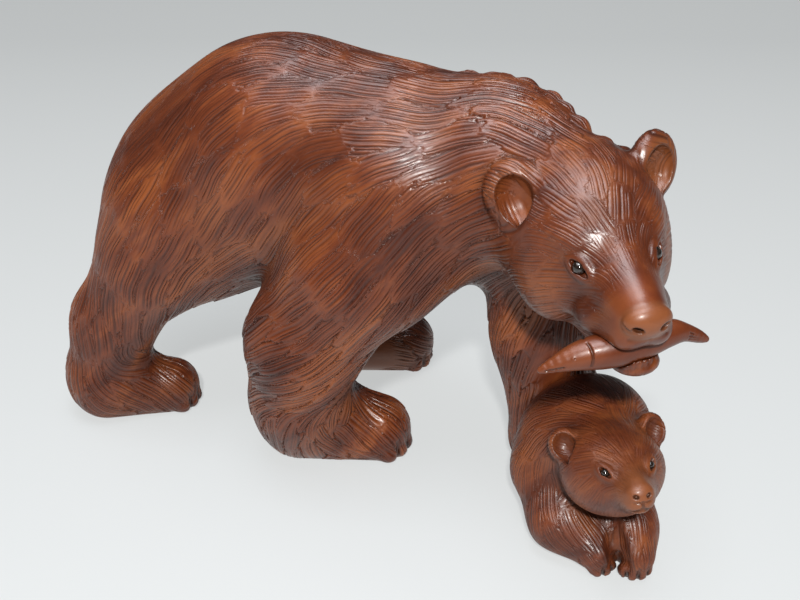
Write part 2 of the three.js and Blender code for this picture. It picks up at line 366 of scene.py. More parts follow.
def cub_face(c):
    c.within(CUB_HEAD)
    for s in (1, -1):
        c.ball((9, 7.5 * s, 6.5), (6, 5, 3.4), 4, (0, -20, 0))
    c.bone((12, 0, 5.5), (26, 0, -0.6), 3, 2.6, 3)
    c.ball((28.8, 0, -3.2), (3.0, 4.8, 3.4), 1.6)
    for s in (1, -1):
        c.ball((31.6, 2.5 * s, -4.0), (1.6, 1.1, 0.8), 0.5, (25 * s, 0, 20 * s), cut=True)
        c.bone((30.6, 3.4 * s, -6.2), (31.4, 0, -6.6), 0.3, 0.4, 0.5, cut=True)
    c.bone((31.2, 0, -6.4), (29.4, 0, -9.6), 0.4, 0.45, 0.5, cut=True)
    c.limb([(19, 9.0, -9.8, 0.3), (24, 6.8, -10.2, 0.6), (30.4, 0, -9.2, 0.6),
            (24, -6.8, -10.2, 0.6), (19, -9.0, -9.8, 0.3)], 0.8, cut=True)
    for s, at in zip((1, -1), CUB_EARS):
        ear(c, CUB_HEAD, at, (4.6, 6.4, 7.2), ear_lean(s), ((3.8, -0.3 * s, -0.4), (4.2, 4.3, 5.1)))
    return c.within(BODY)


def cub_paws(c):
    c.within(GLUE)
    c.ball((85.5, -103, 2), (4.2, 16, 15), 2.5, cut=True)  # between the paws
    c.limb([(82, -84, 24, 2.2), (83.5, -91.5, 16, 3.0), (85.2, -96, 8, 3.6)], 3, cut=True)
    for heel, tip in (((64, -75), (78, -88)), ((91, -80), (92, -90))):
        a, b = GLUE.out((*heel, 0)), GLUE.out((*tip, 0))
        toes(c, a[:2], (b[0], b[1], 8, 8), 3.3, (-54, -18, 18, 54))
    return c


SALMON_RUN = [(36, -32, -29, 1.2), (37, -20, -25.8, 4.5), (38, -9, -24.8, 6.2), (38, 2, -24, 6.2),
              (38, 12, -22.6, 4.8), (38, 18, -23.4, 3.2), (38, 27, -28, 0.7)]


def salmon_line(t):
    """Place and thickness along the fish, t from 0 at the snout to 6 at the tail."""
    run = np.array(SALMON_RUN, float)
    i = int(np.clip(np.floor(t), 0, 5))
    f = t - i
    a, b, c, d = (run[int(np.clip(k, 0, 6))] for k in (i - 1, i, i + 1, i + 2))
    return b + 0.5 * f * (c - a + f * (2 * a - 5 * b + 4 * c - d + f * (3 * (b - c) + d - a)))


def salmon_clay(grown=0.0):
    c = Clay(floor=False)
    c.within(HEAD)
    run = [salmon_line(t) for t in np.linspace(0, 6, 31)]
    return c.limb([(x, y, z, max(r, 0.9) + grown) for x, y, z, r in run], 0.6)


def salmon_detail(c):
    """Mouth, gill, fins and the rays of the tail."""
    c.within(HEAD)

    def skin(t, turn, out=0.0):
        x, y, z, r = salmon_line(t)
        a = np.radians(turn)
        return (x + (r + out) * np.cos(a), y, z + (r + out) * np.sin(a))

    for turn in (-4, 184):
        c.limb([(*skin(t, turn), 0.22) for t in np.linspace(0.15, 0.62, 13)], 0.4, cut=True)
    for turn in (25, 155):
        arc = np.radians(np.linspace(-50, 50, 15))
        gill = [(*skin(1.2 + 0.16 * np.cos(a), turn + np.degrees(a), 0.22), 0.22) for a in arc]
        c.limb(gill, 0.5, cut=True)
    c.ball(skin(0.86, 28, -0.2), (0.9, 0.9, 0.9), 0.3)
    c.ball(skin(0.86, 28, 0.7), (0.35, 0.35, 0.35), 0.2, cut=True)
    for a in (-18, 6, 30):
        c.limb([(*skin(t, a, 0.05), 0.25) for t in (5.15, 5.5, 5.9)], 0.4, cut=True)
    c.ball((38, 21.5, -24.9), (1.3, 6.8, 2.5), 1.5, (0, 0, -31))
    return c.within(BODY)


def glue_side(edge, p):
    """Below 0 on the cub's side of the glue face."""
    t = np.radians(GLUE_TURN)
    return p[..., 1] * np.cos(t) - p[..., 0] * np.sin(t) - edge


def near_cub(p):
    """Below 0 in the block of space that the mother's foreleg leaves to the cub."""
    t = np.radians(GLUE_TURN)
    u = p[..., 0] * np.cos(t) + p[..., 1] * np.sin(t)
    face = glue_side(GLUE_FACE + GLUE_GAP / 2, p)
    return np.maximum(np.maximum(face, GLUE_START - u), p[..., 2] - GLUE_TOP)


def beside_joint(p):
    """1 right beside the glued face, where the carver left no gouge lines."""
    t = np.radians(GLUE_TURN)
    u = p[..., 0] * np.cos(t) + p[..., 1] * np.sin(t)
    near = 1 - fade(np.abs(glue_side(GLUE_FACE, p)), 0.4, 3.0)
    return near * (u > GLUE_START) * (p[..., 2] < GLUE_TOP)


# left and right place (across, up) on the face, radius of the bead, how far it is sunk
EYES = {"mother": ((12.2, 2.4), (-14.2, 1.2), 2.4, 0.7), "cub": ((8.5, 3.4), (-8.5, 3.4), 1.6, 0.5)}


# -------- meshes
def first_mesh(clay, low, high, voxel):
    d = clay.grid(low, high, voxel)
    volume = openvdb.FloatGrid(background=3 * voxel)
    volume.copyFromArray(np.clip(d, -3 * voxel, 3 * voxel))
    points, quads = volume.convertToQuads(0.0)
    return points.astype(np.float32) * voxel + np.asarray(low, np.float32), quads.astype(np.int64)


def refined(p, quads):
    """Each quad becomes four."""
    n = len(p)
    edges = np.stack([quads, np.roll(quads, -1, 1)], -1).reshape(-1, 2)
    edges.sort(axis=1)
    keys, place = np.unique(edges[:, 0].astype(np.int64) * n + edges[:, 1], return_inverse=True)
    middles = (p[keys // n] + p[keys % n]) * 0.5
    centres = p[quads].mean(1)
    e = place.reshape(-1, 4) + n
    f = np.arange(len(quads)) + n + len(keys)
    out = [np.stack([quads[:, i], e[:, i], f, e[:, i - 1]], -1) for i in range(4)]
    return np.concatenate([p, middles, centres]).astype(np.float32), np.concatenate(out)


def quad_normals(p, quads):
    a, b, c, d = (p[quads[:, i]] for i in range(4))
    n = np.cross(c - a, d - b)
    out = np.stack([sum(np.bincount(quads[:, i], n[:, k], len(p)) for i in range(4))
                    for k in range(3)], 1)
    return (out / (np.linalg.norm(out, axis=1, keepdims=True) + 1e-9)).astype(np.float32)


def settle(clay, p, quads):
    """Refines the mesh and pulls it onto the clay."""
    p, quads = refined(p, quads)
    for _ in range(2):
        p = p - quad_normals(p, quads) * np.clip(clay.at(p), -0.8, 0.8)[:, None]
    return p, quads


# -------- fur
def noise_waves(seed, count, scale):
    rng = np.random.default_rng(seed)
    waves = rng.normal(size=(count, 3)) / scale
    return waves.astype(np.float32), rng.uniform(0, 2 * np.pi, count).astype(np.float32)


def waving(p, waves):
    k, phase = waves
    return np.sin(p @ k.T + phase).sum(-1) / np.sqrt(len(phase))


def fade(value, low, high):
    t = np.clip((value - low) / (high - low), 0.0, 1.0)
    return t * t * (3 - 2 * t)


class Coat:
    """Directions of the fur, set by guides of place, direction and reach."""
    def __init__(self, guides, drift, seed):
        self.at = np.array([g[0] for g in guides], np.float32)
        d = np.array([g[1] for g in guides], float)
        self.way = (d / np.linalg.norm(d, axis=1, keepdims=True)).astype(np.float32)
        self.reach = np.array([g[2] for g in guides], np.float32)
        self.drift = drift
        self.waves = noise_waves(seed, 7, 15.0)

    def __call__(self, p, n):
        w = np.zeros((len(p), 3), np.float32)
        for at, way, reach in zip(self.at, self.way, self.reach):
            q = ((p - at) ** 2).sum(-1) / (reach * reach)
            w += np.exp(-q)[:, None] * way + 1e-6 * way
        w -= n * (w * n).sum(-1, keepdims=True)
        w /= np.linalg.norm(w, axis=-1, keepdims=True) + 1e-9
        side = np.cross(n, w)
        a = (waving(p, self.waves) * self.drift)[:, None]
        return w * np.cos(a) + side * np.sin(a)


class Bins:
    """Points sorted into cells, so that those near a place are found at once."""
    def __init__(self, p, cell):
        self.low, self.cell = p.min(0) - cell, cell
        spot = ((p - self.low) / cell).astype(np.int64)
        self.size = spot.max(0) + 2
        key = (spot[:, 0] * self.size[1] + spot[:, 1]) * self.size[2] + spot[:, 2]
        self.order = np.argsort(key, kind="stable")
        self.key = key[self.order]

    def around(self, centre, reach):
        a = np.clip(((centre - reach - self.low) / self.cell).astype(int), 0, self.size - 1)
        b = np.clip(((centre + reach - self.low) / self.cell).astype(int), 0, self.size - 1)
        x, y = np.meshgrid(np.arange(a[0], b[0] + 1), np.arange(a[1], b[1] + 1), indexing="ij")
        row = (x.ravel() * self.size[1] + y.ravel()) * self.size[2]
        first = np.searchsorted(self.key, row + a[2])
        last = np.searchsorted(self.key, row + b[2], side="right")
        return np.concatenate([self.order[i:j] for i, j in zip(first, last)])


def planted(p, n, coat, size, depths, seed, tries):
    """Centres of tufts spread over the skin, each longer than it is wide along the coat."""
    rng = np.random.default_rng(seed)
    pick = rng.permutation(len(p))[:tries]
    at, up = p[pick], n[pick]
    way = coat(at, up)
    side = np.cross(up, way)
    length, width = size(at)
    spacing = depths(at)[0] * rng.uniform(0.85, 1.2, len(at))
    phase = rng.uniform(0, 1, len(at))
    later = coat(at + way * 5, up)
    bend = np.arctan2((later * side).sum(-1), (later * way).sum(-1)) / 5
    placed = np.empty_like(at)
    kept = []
    for i in range(len(at)):
        q = placed[:len(kept)] - at[i]
        if kept:
            apart = (q @ way[i] / length[i]) ** 2 + (q @ side[i] / width[i]) ** 2
            if (apart + (q @ up[i] / (1.6 * width[i])) ** 2).min() < 1:
                continue
        placed[len(kept)] = at[i]
        kept.append(i)
    return [(at[i], way[i], side[i], up[i], length[i], width[i], bend[i], spacing[i], phase[i])
            for i in kept]


def combed(p, tufts):
    """For every point: which line of its tuft it lies on, how far along, how near the border
    (closely and loosely), how much of that border runs beside the lines, and the tuft's number."""
    bins = Bins(p, 5.0)
    best, second = np.full(len(p), 4.0, np.float32), np.full(len(p), 4.0, np.float32)
    lines, along, aside = (np.zeros(len(p), np.float32) for _ in range(3))
    number = np.zeros(len(p), np.int32)
    for k, (at, way, side, up, length, width, bend, spacing, phase) in enumerate(tufts):
        near = bins.around(at, length)
        q = p[near] - at
        s, t, h = q @ way, q @ side, q @ up
        t = t - 0.5 * bend * s * s + 0.25 * np.sin(0.32 * s + 6.28 * phase)
        line = t / spacing + phase + 0.22 * np.sin(2.3 * t / spacing + 9.0 * phase)
        e = np.sqrt((s / length) ** 2 + (t / width) ** 2 + (h / (1.6 * width)) ** 2) - 0.14 * s / length
        e = e - RAGGED * min(1.0, width / 9.0) * scattered(np.floor(line), k)
        wins = e < best[near]
        second[near] = np.where(wins, best[near], np.minimum(second[near], e))
        won = near[wins]
        best[won] = e[wins]
        lines[won], along[won], number[won] = line[wins], s[wins] / length, k
        aside[won] = np.abs(t[wins]) / width
    beside = fade(aside ** 2 / (aside ** 2 + along ** 2 + 1e-4), 0.3, 0.8)
    gap = second - best
    return lines, along, 1 - fade(gap, 0.0, 0.13), 1 - fade(gap, 0.0, 0.5), beside, number


def scattered(a, b=0.0):
    """A number from 0 to 1 that jumps from one whole a to the next."""
    return np.modf(np.abs(np.sin(a * 12.9898 + b * 78.233) * 43758.5453))[0]


# -------- Blender objects
def centre_of(node):
    low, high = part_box(node)
    return (np.array(low) + np.array(high)) / 2 / MM


# the row's frame against the carver's: the upper peg tells how far the model was moved
SHIFT = centre_of("cub_peg_upper") - GLUE.out((PEG_RIGHT, GLUE_FACE, PEG_UPPER))


def linked(name, data):
    """A new object of the scene that shows those data."""
    shown = bpy.data.objects.new(name, data)
    bpy.context.scene.collection.objects.link(shown)
    return shown


def mesh_object(name, p, faces, marks):
    """A smooth-shaded piece made of quads, with its marks stored on the points."""
    mesh = bpy.data.meshes.new(name)
    mesh.vertices.add(len(p))
    mesh.vertices.foreach_set("co", ((p + SHIFT) * MM).astype(np.float32).ravel())
    mesh.loops.add(faces.size)
    mesh.loops.foreach_set("vertex_index", faces.astype(np.int32).ravel())
    mesh.polygons.add(len(faces))
    mesh.polygons.foreach_set("loop_start", np.arange(0, faces.size, faces.shape[1], dtype=np.int32))
    mesh.update(calc_edges=True)
    mesh.validate()
    for key, values in marks.items():
        layer = mesh.attributes.new(key, "FLOAT", "POINT")
        layer.data.foreach_set("value", np.asarray(values, np.float32))
    mesh.polygons.foreach_set("use_smooth", np.ones(len(mesh.polygons), bool))
    mesh.update()
    return linked(name, mesh)


def hollowness(clay, p, n, reach):
    """0 on open ground, 1 in a tight crease. The material paints shade into creases by it."""
    return 1.0 - np.clip(clay.at(p + n * reach) / reach, 0.0, 1.0)


def in_place(place, p):
    return (p - place.at.astype(np.float32)) @ place.axes.astype(np.float32)


# -------- the mother
def head_way(head, back, left, up):
    forward, aside, above = head.axes.T
    return tuple(-forward * back + aside * left + above * up)


def both_sides(x, y, z, way, reach):
    return [((x, s * y, z), (way[0], s * way[1], way[2]), reach) for s in (1, -1)]


def mother_coat():
    """Directions of the mother's fur: back along the spine, down the flanks, out over the feet."""
    g = [
        ((-10, 0, 176), (-1, 0, 0.0), 24), ((-60, 4, 180), (-1, 0, -0.1), 24),
        ((-100, 4, 160), (-0.8, 0, -0.7), 24), ((-134, 4, 110), (-0.1, 0, -1), 30),
        ((30, -2, 172), (-1, 0, -0.1), 18), ((58, -12, 166), (-1, 0.25, 0.1), 18),
    ]
    g += both_sides(-20, 30, 158, (-1, 0, -0.55), 20)
    g += both_sides(-60, 34, 156, (-1, 0, -0.9), 22)
    g += both_sides(-95, 34, 140, (-0.7, 0, -1.2), 22)
    g += both_sides(-20, 42, 128, (-1, 0, -1.15), 24)
    g += both_sides(-58, 42, 118, (-0.9, 0, -1.2), 24)
    g += both_sides(-92, 42, 105, (-0.5, 0, -1.3), 22)
    g += both_sides(-22, 42, 98, (-1, 0, -0.8), 22)
    g += both_sides(-60, 42, 88, (-0.8, 0, -0.9), 20)
    g += both_sides(-118, 34, 90, (-0.15, 0, -1), 24)
    g += both_sides(34, 34, 145, (-1, 0, -0.9), 20)
    g += both_sides(20, 40, 112, (-1, 0, -1.1), 22)
    g += [
        ((-4, -58, 92), (-0.95, 0, -0.75), 20), ((-24, -54, 66), (-0.95, 0.1, -0.5), 18),
        ((-36, -50, 46), (-0.9, 0, -0.5), 14), ((-10, -44, 55), (-0.8, -0.5, -0.4), 15),
        ((-34, -46, 22), (-0.2, 0, -1), 12), ((-14, -36, 22), (0.9, -0.3, -0.6), 13),
        ((-4, -14, 22), (1, 0, -0.5), 12), ((-58, -28, 44), (-0.1, 0.2, -1), 12),
        ((-12, -10, 50), (0.1, 0.5, -1), 12),
        ((-118, -46, 60), (-0.25, 0, -1), 18), ((-142, -38, 34), (0.05, 0, -1), 14),
        ((-116, -34, 22), (0.9, 0.1, -0.6), 13), ((-118, -12, 40), (0.1, 0, -1), 14),
        ((-70, 56, 70), (0.1, 0, -1), 18), ((-50, 58, 35), (0.25, 0, -1), 14),
        ((-18, 56, 18), (1, 0.2, -0.4), 14), ((-50, 30, 40), (0.2, 0, -1), 14),
        ((60, 18, 80), (-0.2, 0, -1), 18), ((66, 10, 45), (0, 0, -1), 16),
        ((84, 4, 16), (1, 0.2, -0.5), 12),
        ((60, -16, 60), (-0.15, 0, -1), 18), ((48, 0, 90), (-0.5, 0, -1), 14),
        ((-40, 0, 74), (-1, 0, 0), 22), ((10, 0, 84), (-1, 0, 0), 20),
    ]
    # head: from the nose back, fanning out over brow and cheeks
    for at, way, reach in [
        ((44, 0, 2), (1, 0, 0.2), 10), ((28, 0, 10), (1, 0, 0.3), 10), ((14, 0, 26), (1, 0, 0.1), 14),
        ((-8, 0, 29), (1, 0, -0.1), 16),
        ((16, 14, 18), (0.8, 0.7, 0.2), 11), ((16, -14, 18), (0.8, -0.7, 0.2), 11),
        ((22, 16, -8), (0.9, 0.5, -0.45), 10), ((22, -16, -8), (0.9, -0.5, -0.45), 10),
        ((6, 27, -6), (1, 0.3, -0.4), 13), ((6, -27, -6), (1, -0.3, -0.4), 13),
        ((4, 22, -24), (0.8, 0.2, -0.9), 12), ((4, -22, -24), (0.8, -0.2, -0.9), 12),
        ((-18, 24, 0), (1, 0.1, -0.5), 14), ((-18, -24, 0), (1, -0.1, -0.5), 14),
        ((-4, 30, 22), (0.1, 0.4, 1), 11), ((-4, -30, 18), (0.1, -0.4, 1), 7),
        ((-16, 27, 22), (1, 0.1, -0.3), 10), ((-16, -27, 22), (1, -0.1, -0.3), 10),
        ((20, 0, -36), (1, 0, -0.2), 12), ((0, 0, -32), (1, 0, -0.3), 14),
    ]:
        g.append((tuple(HEAD.out(at)), head_way(HEAD, *way), reach))
    return Coat(g, 0.15, 11)


def in_cup(p, place, s, at, low, radii, soft, depth):
    """1 in the cup of an ear, an oval of those radii whose edge is soft, down to that depth."""
    inner = Place(place.out(at))
    inner.axes = place.axes @ turned(*ear_lean(s))
    e = in_place(inner, p)
    r = np.sqrt((e[:, 1] / radii[0]) ** 2 + ((e[:, 2] + low) / radii[1]) ** 2)
    return (1 - fade(r, *soft)) * (e[:, 0] > depth[0]) * (e[:, 0] < depth[1])


def mother_bare(p):
    """1 where the carver left the wood smooth: tip of the muzzle, ear cups."""
    q = in_place(HEAD, p)
    bare = fade(q[:, 0] + 0.3 * (q[:, 2] + 6), 36, 44) * (q[:, 2] > -40)
    for s, at in zip((1, -1), MOTHER_EARS):
        cup = in_cup(p, HEAD, s, at, 1.2, (8.4, 10.4), (0.8, 1.0), (-3, 8))
        bare = np.maximum(bare, 0.45 * cup)
    inside = np.exp(-(((p - np.float32([-30, 33, 13])) / np.float32([20, 11, 15])) ** 2).sum(-1))
    return np.maximum(bare, fade(inside, 0.3, 0.6))


def round_eyes(bare, centres, reach):
    """The same smooth wood, with the lids added."""
    return lambda p: np.maximum(bare(p), sum(fade(blob(p, c, reach), 0.25, 0.6) for c in centres))


def mother_pale(p):
    """1 where the colour is palest: nose pad, ear cups, cheeks, inner side of the left hind foot."""
    q = in_place(HEAD, p)
    nose = np.sqrt((((q - np.float32([48.6, 0, -9.6])) / np.float32([6.4, 9.6, 7.0])) ** 2).sum(-1))
    foot = np.exp(-(((p - np.float32([-28, 33, 13])) / np.float32([22, 13, 17])) ** 2).sum(-1))
    pale = np.maximum(1 - fade(nose, 0.85, 1.1), fade(foot, 0.15, 0.5) * 0.9)
    for s, at, much in zip((1, -1), MOTHER_EARS, (0.9, 0.25)):
        cup = in_cup(p, HEAD, s, at, 0, (10, 12), (0.7, 1.1), (-2, 9))
        cheek = blob(p, HEAD.out((8, 24 * s, -14)), 13)
        pale = np.maximum(pale, np.maximum(much * cup, 0.3 * cheek))
    return pale


def mother_painted_shade(p):
    """1 where painted shade darkens the wood: sides of the muzzle, brow, and the right hind foot."""
    muzzle = sum(blob(p, HEAD.out((34, 10.0 * s, -13)), 11) for s in (1, -1))
    return 1.1 * muzzle + 0.9 * blob(p, (-106, -28, 8), 22) + 0.8 * blob(p, HEAD.out((18, -3, 18)), 16)


def blob(p, at, radius):
    return np.exp(-((p - np.float32(at)) ** 2).sum(-1) / radius ** 2)


def mother_zones(p):
    """How deep the locks lie, and how near the face and the muzzle, from 0 to 1."""
    locks = (blob(p, (-18, -42, 55), 40) + blob(p, (66, 4, 50), 40) + 0.9 * blob(p, (52, -10, 150), 36)
             + 0.35 * (1 - fade(p[:, 2], 60, 100)))
    q = in_place(HEAD, p)
    face = fade(q[:, 0], -14, 8) * (np.abs(q[:, 1]) < 34) * (q[:, 2] > -44) * (q[:, 2] < 34)
    face = face * (np.linalg.norm(q, axis=1) < 60)
    muzzle = face * fade(q[:, 0], 18, 30)
    return np.clip(locks, 0, 1) * (1 - face), face, muzzle


def mother_tufts(p):
    """Length and width of the tufts."""
    locks, face, muzzle = mother_zones(p)
    length = 21 + 3 * locks - 9 * face - 5 * muzzle
    width = 9.5 - 5.0 * locks - 3.6 * face - 1.8 * muzzle
    return length, width


def mother_depths(p):
    """Spacing of the gouge lines, their depth, and the depth of the locks' borders."""
    locks, face, muzzle = mother_zones(p)
    return (1.5 - 0.3 * face - 0.1 * muzzle, 0.55 + 0.08 * locks - 0.26 * face - 0.14 * muzzle,
            0.34 + 0.85 * locks - 0.2 * face - 0.06 * muzzle)


def make_mother():
    """Her clay and mesh before the fur, and where her eyes go."""
    skin = mother_skin()
    clay = mother_face(mother_skin())
    centres = []
    *sites, r, sunk = EYES["mother"]
    for sign, (across, up) in zip((1, -1), sites):
        point = skin.meet(HEAD, across, up)
        centres.append(point - HEAD.axes[:, 0] * sunk)
        lids(clay, point, centres[-1], lid_frame(skin, HEAD, point, sign), r)
    mother_toes(clay)
    fish = salmon_detail(salmon_clay(0.3))
    clay.half(fish.at)
    clay.half(near_cub)
    p, quads = first_mesh(clay, (-160, -82, -4), (136, 74, 188), MOTHER_VOXEL)
    p, quads = settle(clay, p, quads)
    return clay, p, quads, centres


def furred(clay, p, quads, coat, bare, size, depths, seed, tries):
    """Combs tufts of fine gouge lines into the skin.  Gives the points and the marks."""
    n = quad_normals(p, quads)
    hair = (1 - np.clip(bare(p), 0, 1)) * fade(p[:, 2], 0.2, 1.5)
    # how enclosed each point is at two reaches: the material paints shade into creases from both, and
    # the tighter one also keeps gouge lines out of tight creases
    marks = {"hollow": hollowness(clay, p, n, 5.0), "deep": hollowness(clay, p, n, 1.6)}
    hair = hair * (1 - 0.8 * fade(marks["deep"], 0.35, 0.8)) * (1 - beside_joint(p))
    tufts = planted(p, n, coat, size, depths, seed, tries)
    lines, along, edge, ending, beside, number = combed(p, tufts)
    _, depth, border = depths(p)
    f = lines - np.floor(lines)
    each = scattered(np.floor(lines), number)
    run = 0.5 + 0.5 * np.sin(along * 7.0 + each * 40.0)
    groove = np.clip(1 - np.abs(f - 0.5) / 0.36, 0, 1) * (0.35 + 0.65 * each) * (0.6 + 0.4 * run)
    open_run = (1 - edge) * (1 - 0.85 * ending * (1 - beside))
    groove = groove * open_run
    tone = scattered(number.astype(float) + 0.5)
    lift = (along + 0.1) * np.clip(border - 0.35, 0, 1) * 0.9 + (tone - 0.5) * border * 0.25
    sink = groove * depth + edge * beside * border - np.clip(lift, -0.4, 0.4)
    p = p - n * (sink * hair)[:, None]
    p[:, 2] = np.maximum(p[:, 2], 0.0)
    cover = hair * open_run * np.clip(depth / 0.55, 0, 1.1)
    marks.update(across=lines + 37.0 * (number % 89), cover=cover, tone=tone,
                 border=edge * beside * hair * np.clip(border / 0.4, 0, 1))
    return p, marks


# -------- materials
def nodes_of(name):
    material = bpy.data.materials.new(name)
    material.use_nodes = True
    tree = material.node_tree
    return material, tree, tree.nodes["Principled BSDF"]


def add(tree, kind, **values):
    node = tree.nodes.new(kind)
    for key, value in values.items():
        if hasattr(node, key):
            setattr(node, key, value)
        else:
            node.inputs[key.replace("_", " ")].default_value = value
    return node


def mark(tree, key):
    return add(tree, "ShaderNodeAttribute", attribute_name=key).outputs["Fac"]


def maths(tree, how, a, b=0.0, clamp=False):
    node = add(tree, "ShaderNodeMath", operation=how, use_clamp=clamp)
    for k, value in enumerate((a, b)):
        if isinstance(value, (int, float)):
            node.inputs[k].default_value = value
        else:
            tree.links.new(value, node.inputs[k])
    return node.outputs[0]


def blended(tree, factor, a, b, how="MIX"):
    node = add(tree, "ShaderNodeMix", data_type="RGBA", blend_type=how)
    for k, value in ((0, factor), (6, a), (7, b)):
        if isinstance(value, tuple):
            node.inputs[k].default_value = (*value, 1)
        elif isinstance(value, (int, float)):
            node.inputs[k].default_value = value
        else:
            tree.links.new(value, node.inputs[k])
    return node.outputs[2]


def grain(tree, stretch, scale, detail=5.0, rough=0.6):
    """Long streaks of the wood's own grain."""
    where = add(tree, "ShaderNodeTexCoord").outputs["Object"]
    mapping = add(tree, "ShaderNodeMapping", vector_type="TEXTURE")
    mapping.inputs["Scale"].default_value = tuple(1 / value for value in stretch)
    mapping.inputs["Rotation"].default_value = (0.0, -0.83, 0.08)
    tree.links.new(where, mapping.inputs["Vector"])
    noise = add(tree, "ShaderNodeTexNoise", Scale=scale, Detail=detail, Roughness=rough)
    tree.links.new(mapping.outputs[0], noise.inputs["Vector"])
    return noise.outputs["Fac"]


def ramp(tree, value, stops):
    node = add(tree, "ShaderNodeValToRGB")
    band = node.color_ramp
    while len(band.elements) < len(stops):
        band.elements.new(0.5)
    for element, (at, colour) in zip(band.elements, stops):
        element.position = at
        element.color = (*colour, 1)
    tree.links.new(value, node.inputs[0])
    return node.outputs[0]


def linear(r, g, b):
    c = np.array([r, g, b]) / 255
    return tuple(float(v) for v in np.where(c < 0.04045, c / 12.92, ((c + 0.055) / 1.055) ** 2.4))


# CREASE_SHADE is the painted shade of tight creases; DARK is what grain, gouge lines and painted shade
# blend towards
CREASE_SHADE = linear(22, 7, 3)
DARK = linear(48, 17, 7)
DEEP = linear(74, 31, 15)
MID = linear(110, 52, 24)
WARM = linear(142, 76, 36)
# smooth uncarved wood, darkened to paint the shade on the sides of the muzzle
SMOOTH_SHADED = linear(106, 47, 20)
PALE = linear(130, 76, 43)


def gouge_lines(tree):
    """The fine gouge lines of each tuft, 1 in the middle of a line."""
    lines = mark(tree, "across")
    middle = maths(tree, "ABSOLUTE", maths(tree, "SUBTRACT", maths(tree, "FRACT", lines), 0.5))
    groove = maths(tree, "SUBTRACT", 1.0, maths(tree, "DIVIDE", middle, 0.3), True)
    noise = add(tree, "ShaderNodeTexWhiteNoise", noise_dimensions="1D")
    tree.links.new(maths(tree, "FLOOR", lines), noise.inputs["W"])
    groove = maths(tree, "MULTIPLY", groove, maths(tree, "ADD", noise.outputs["Value"], 0.35))
    return maths(tree, "MULTIPLY", groove, mark(tree, "cover"), True)


def carved_wood(name, furry=True, dull=0.0):
    material, tree, shader = nodes_of(name)
    long = grain(tree, (8.0, 44.0, 44.0), 1.5)
    base = ramp(tree, long, [(0.36, DEEP), (0.5, MID), (0.64, WARM)])
    fine = grain(tree, (30.0, 300.0, 300.0), 2.0)
    base = blended(tree, maths(tree, "MULTIPLY", fine, 0.22), base, DARK)
    base = blended(tree, maths(tree, "MULTIPLY", mark(tree, "bare"), 0.5, True), base, SMOOTH_SHADED)
    base = blended(tree, maths(tree, "MULTIPLY", mark(tree, "pale"), 0.75, True), base, PALE)
    if furry:
        tint = maths(tree, "MULTIPLY", maths(tree, "SUBTRACT", mark(tree, "tone"), 0.3), 0.22, True)
        base = blended(tree, tint, base, DEEP)
        lines = gouge_lines(tree)
        # painted shade in the gouge lines and along the tufts' borders
        base = blended(tree, maths(tree, "MULTIPLY", lines, 0.7, True), base, DARK)
        base = blended(tree, maths(tree, "MULTIPLY", mark(tree, "border"), 0.5, True), base, DARK)
    # painted shade: darker in creases and hollows, near black in tight creases
    base = blended(tree, maths(tree, "MULTIPLY", mark(tree, "hollow"), 0.55, True), base, DARK)
    base = blended(tree, maths(tree, "MULTIPLY", mark(tree, "deep"), 0.75, True), base, CREASE_SHADE)
    tree.links.new(base, shader.inputs["Base Color"])
    gloss = maths(tree, "ADD", maths(tree, "MULTIPLY", long, 0.16), 0.28 + dull)
    tree.links.new(gloss, shader.inputs["Roughness"])
    shader.inputs["Coat Weight"].default_value = 0.12
    shader.inputs["Coat Roughness"].default_value = 0.2
    shader.inputs["Specular IOR Level"].default_value = 0.4
    height = maths(tree, "MULTIPLY", fine, 0.25)
    if furry:
        height = maths(tree, "SUBTRACT", height, lines)
    bump = add(tree, "ShaderNodeBump", Strength=0.8, Distance=0.0003)
    tree.links.new(height, bump.inputs["Height"])
    tree.links.new(bump.outputs[0], shader.inputs["Normal"])
    return material


def eye_glass(name):
    material, tree, shader = nodes_of(name)
    spots = grain(tree, (1, 1, 1), 900.0, 2.0)
    dark = ramp(tree, spots, [(0.3, (0.004, 0.003, 0.003)), (0.75, (0.03, 0.018, 0.012))])
    tree.links.new(dark, shader.inputs["Base Color"])
    tree.links.new(maths(tree, "MULTIPLY", spots, 0.2), shader.inputs["Roughness"])
    shader.inputs["Coat Weight"].default_value = 0.8
    shader.inputs["Coat Roughness"].default_value = 0.04
    return material


def dowel_wood(name):
    material, tree, shader = nodes_of(name)
    streak = grain(tree, (60, 60, 300), 2.0)
    tree.links.new(ramp(tree, streak, [(0.3, linear(170, 125, 80)), (0.7, linear(212, 172, 120))]),
                   shader.inputs["Base Color"])
    shader.inputs["Roughness"].default_value = 0.65
    return material


# -------- build
def finished(piece, node, material):
    """Gives the piece its material, and puts it in the place of its CAD node."""
    piece.data.materials.append(material)
    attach(piece, "root")
    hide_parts(node)


def build_mother():
    clay, p, quads, centres = make_mother()
    bare, pale = mother_bare(p), mother_pale(p)
    p, marks = furred(clay, p, quads, mother_coat(), round_eyes(mother_bare, centres, 5.0),
                      mother_tufts, mother_depths, seed=5, tries=14000)
    # painted shade: crease darkening plus painted shade on the muzzle's sides, the brow and the right
    # hind foot
    hollow = np.clip(marks["hollow"] + mother_painted_shade(p), 0, 1)
    marks.update(bare=bare, pale=pale, hollow=hollow)
    piece = mesh_object("mother_bear_carving", p, quads, marks)
    finished(piece, "mother_bear", carved_wood("varnished_fur_wood"))
    return centres


